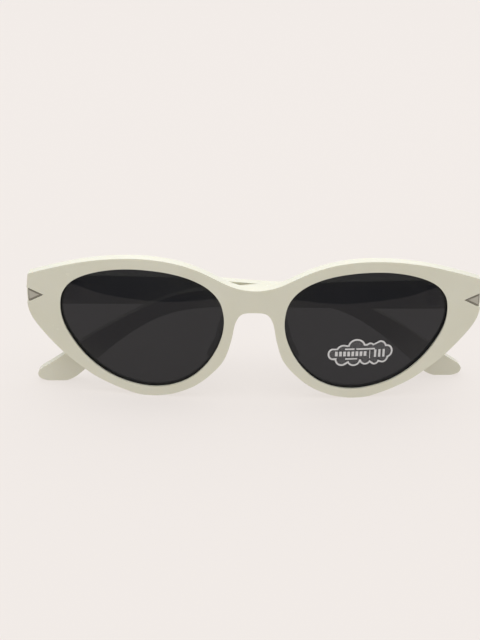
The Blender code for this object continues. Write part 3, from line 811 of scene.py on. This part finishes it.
floor_z = min(cad_box[0][2], 0.0) - 0.00002
FLOOR = (0.19, 0.18, 0.172)
GLOW = (0.638, 0.601, 0.579)     # the paper is lit through, so shadows stay faint
floor = sheet_of_floor("studio_floor", -3.0, 3.0, -3.0, 3.0, floor_z, FLOOR, 0.8)
floor.visible_glossy = False
near = sheet_of_floor("studio_table_top", -0.5, 0.5, -0.16, 0.5, floor_z - 0.0004,
                      FLOOR, 0.8)
near.visible_camera = False
near.visible_diffuse = False
near.visible_shadow = False
near.visible_transmission = False


def paper_wall(name, radius, height, z, colour, segments=96):
    """The paper sweep carried up all round, seen only as the far background."""
    bm = bmesh.new()
    rings = [[bm.verts.new((radius * math.cos(2 * math.pi * i / segments),
                            radius * math.sin(2 * math.pi * i / segments), level))
              for i in range(segments)] for level in (z, z + height)]
    for i in range(segments):
        k = (i + 1) % segments
        bm.faces.new((rings[0][i], rings[1][i], rings[1][k], rings[0][k]))
    mesh = bpy.data.meshes.new(name)
    bm.to_mesh(mesh)
    bm.free()
    mat, tree, shader = nodes_of(name + "_finish")
    tree.links.new(ramp(tree, noise(tree, coords(tree), 1.5, 2.0), [
        (0.3, (0.010, 0.010, 0.010)), (0.7, (0.014, 0.014, 0.014))]),
        shader.inputs["Base Color"])
    shader.inputs["Roughness"].default_value = 0.9
    shader.inputs["Specular IOR Level"].default_value = 0.0
    shader.inputs["Emission Color"].default_value = (*colour, 1.0)
    shader.inputs["Emission Strength"].default_value = 1.0
    mesh.materials.append(mat)
    obj = bpy.data.objects.new(name, mesh)
    bpy.context.scene.collection.objects.link(obj)
    obj.visible_diffuse = False
    obj.visible_glossy = False
    obj.visible_transmission = False
    obj.visible_shadow = False
    return obj


paper_wall("studio_wall", 2.9, 4.0, floor_z, (0.875, 0.828, 0.797))

ROOM_FRONT = (0.86, 0.855, 0.85)
ROOM_BACK = (0.98, 0.975, 0.97)
WINDOW = 1.0
world = bpy.data.worlds.new("studio")
bpy.context.scene.world = world
world.use_nodes = True
tree = world.node_tree
background = tree.nodes["Background"]
tex = tree.nodes.new("ShaderNodeTexCoord")
split = tree.nodes.new("ShaderNodeSeparateXYZ")
tree.links.new(tex.outputs["Generated"], split.inputs["Vector"])


def math_node(operation, *inputs):
    node = tree.nodes.new("ShaderNodeMath")
    node.operation = operation
    for socket, value in zip(node.inputs, inputs):
        if isinstance(value, float):
            socket.default_value = value
        else:
            tree.links.new(value, socket)
    return node.outputs["Value"]


rearward = math_node("MULTIPLY_ADD", split.outputs["Y"], 0.5, 0.5)
room = ramp(tree, rearward, [
    (0.0, ROOM_FRONT), (0.35, ROOM_FRONT), (0.75, ROOM_BACK), (1.0, ROOM_BACK)])
overhead = ramp(tree, split.outputs["Z"], [
    (0.0, (0.50, 0.50, 0.50)), (0.45, (0.58, 0.58, 0.58)), (0.80, (1.90, 1.90, 1.90)),
    (1.0, (2.60, 2.60, 2.60))])
band = ramp(tree, split.outputs["Z"], [
    (0.06, (0, 0, 0)), (0.20, (1, 1, 1)), (0.50, (1, 1, 1)), (0.66, (0, 0, 0))])
behind = ramp(tree, rearward, [(0.58, (0, 0, 0)), (0.80, (1, 1, 1))])
glow = math_node("MULTIPLY", math_node("MULTIPLY", band, behind), WINDOW)
base = tree.nodes.new("ShaderNodeMix")
base.data_type = "RGBA"
base.blend_type = "MULTIPLY"
base.inputs["Factor"].default_value = 1.0
tree.links.new(room, base.inputs["A"])
tree.links.new(overhead, base.inputs["B"])
total = tree.nodes.new("ShaderNodeMix")
total.data_type = "RGBA"
total.blend_type = "ADD"
total.inputs["Factor"].default_value = 1.0
tree.links.new(base.outputs["Result"], total.inputs["A"])
tree.links.new(glow, total.inputs["B"])
tree.links.new(total.outputs["Result"], background.inputs["Color"])
background.inputs["Strength"].default_value = 0.72


def softbox(name, location, target, size, power, colour=(1, 1, 1)):
    light = bpy.data.lights.new(name, "AREA")
    light.shape = "RECTANGLE"
    light.size, light.size_y = size
    light.energy = power
    light.color = colour
    obj = bpy.data.objects.new(name, light)
    obj.location = location
    obj.rotation_euler = (Vector(target) - Vector(location)).to_track_quat(
        "-Z", "Y").to_euler()
    bpy.context.scene.collection.objects.link(obj)
    return obj


softbox("ceiling_soft", (0.0, -0.25, 1.5), (0, 0, 0.02), (2.4, 2.0), 7.5)

# ------------------------------------------------------------------ the camera
ELEVATION, AZIMUTH, ROLL = 20.0, -0.65, 0.93
DISTANCE, LENS = 0.4192, 74.0
target = Vector((-0.00434, SHIFT + 0.0101, 0.0228))
camera_data = bpy.data.cameras.new("camera")
camera_data.lens = LENS
camera_data.sensor_width = 36.0
camera_data.clip_start = 0.01
camera = bpy.data.objects.new("camera", camera_data)
el, az = math.radians(ELEVATION), math.radians(AZIMUTH)
direction = Vector((math.sin(az) * math.cos(el), -math.cos(az) * math.cos(el),
                    math.sin(el)))
camera.location = target + direction * DISTANCE
look = (-direction).to_track_quat("-Z", "Y").to_matrix().to_4x4()
roll = Matrix.Rotation(math.radians(ROLL), 4, "Z")
camera.matrix_world = Matrix.Translation(camera.location) @ look @ roll
bpy.context.scene.collection.objects.link(camera)
bpy.context.scene.camera = camera
bpy.context.scene.view_settings.view_transform = "Standard"
bpy.context.scene.view_settings.look = "None"
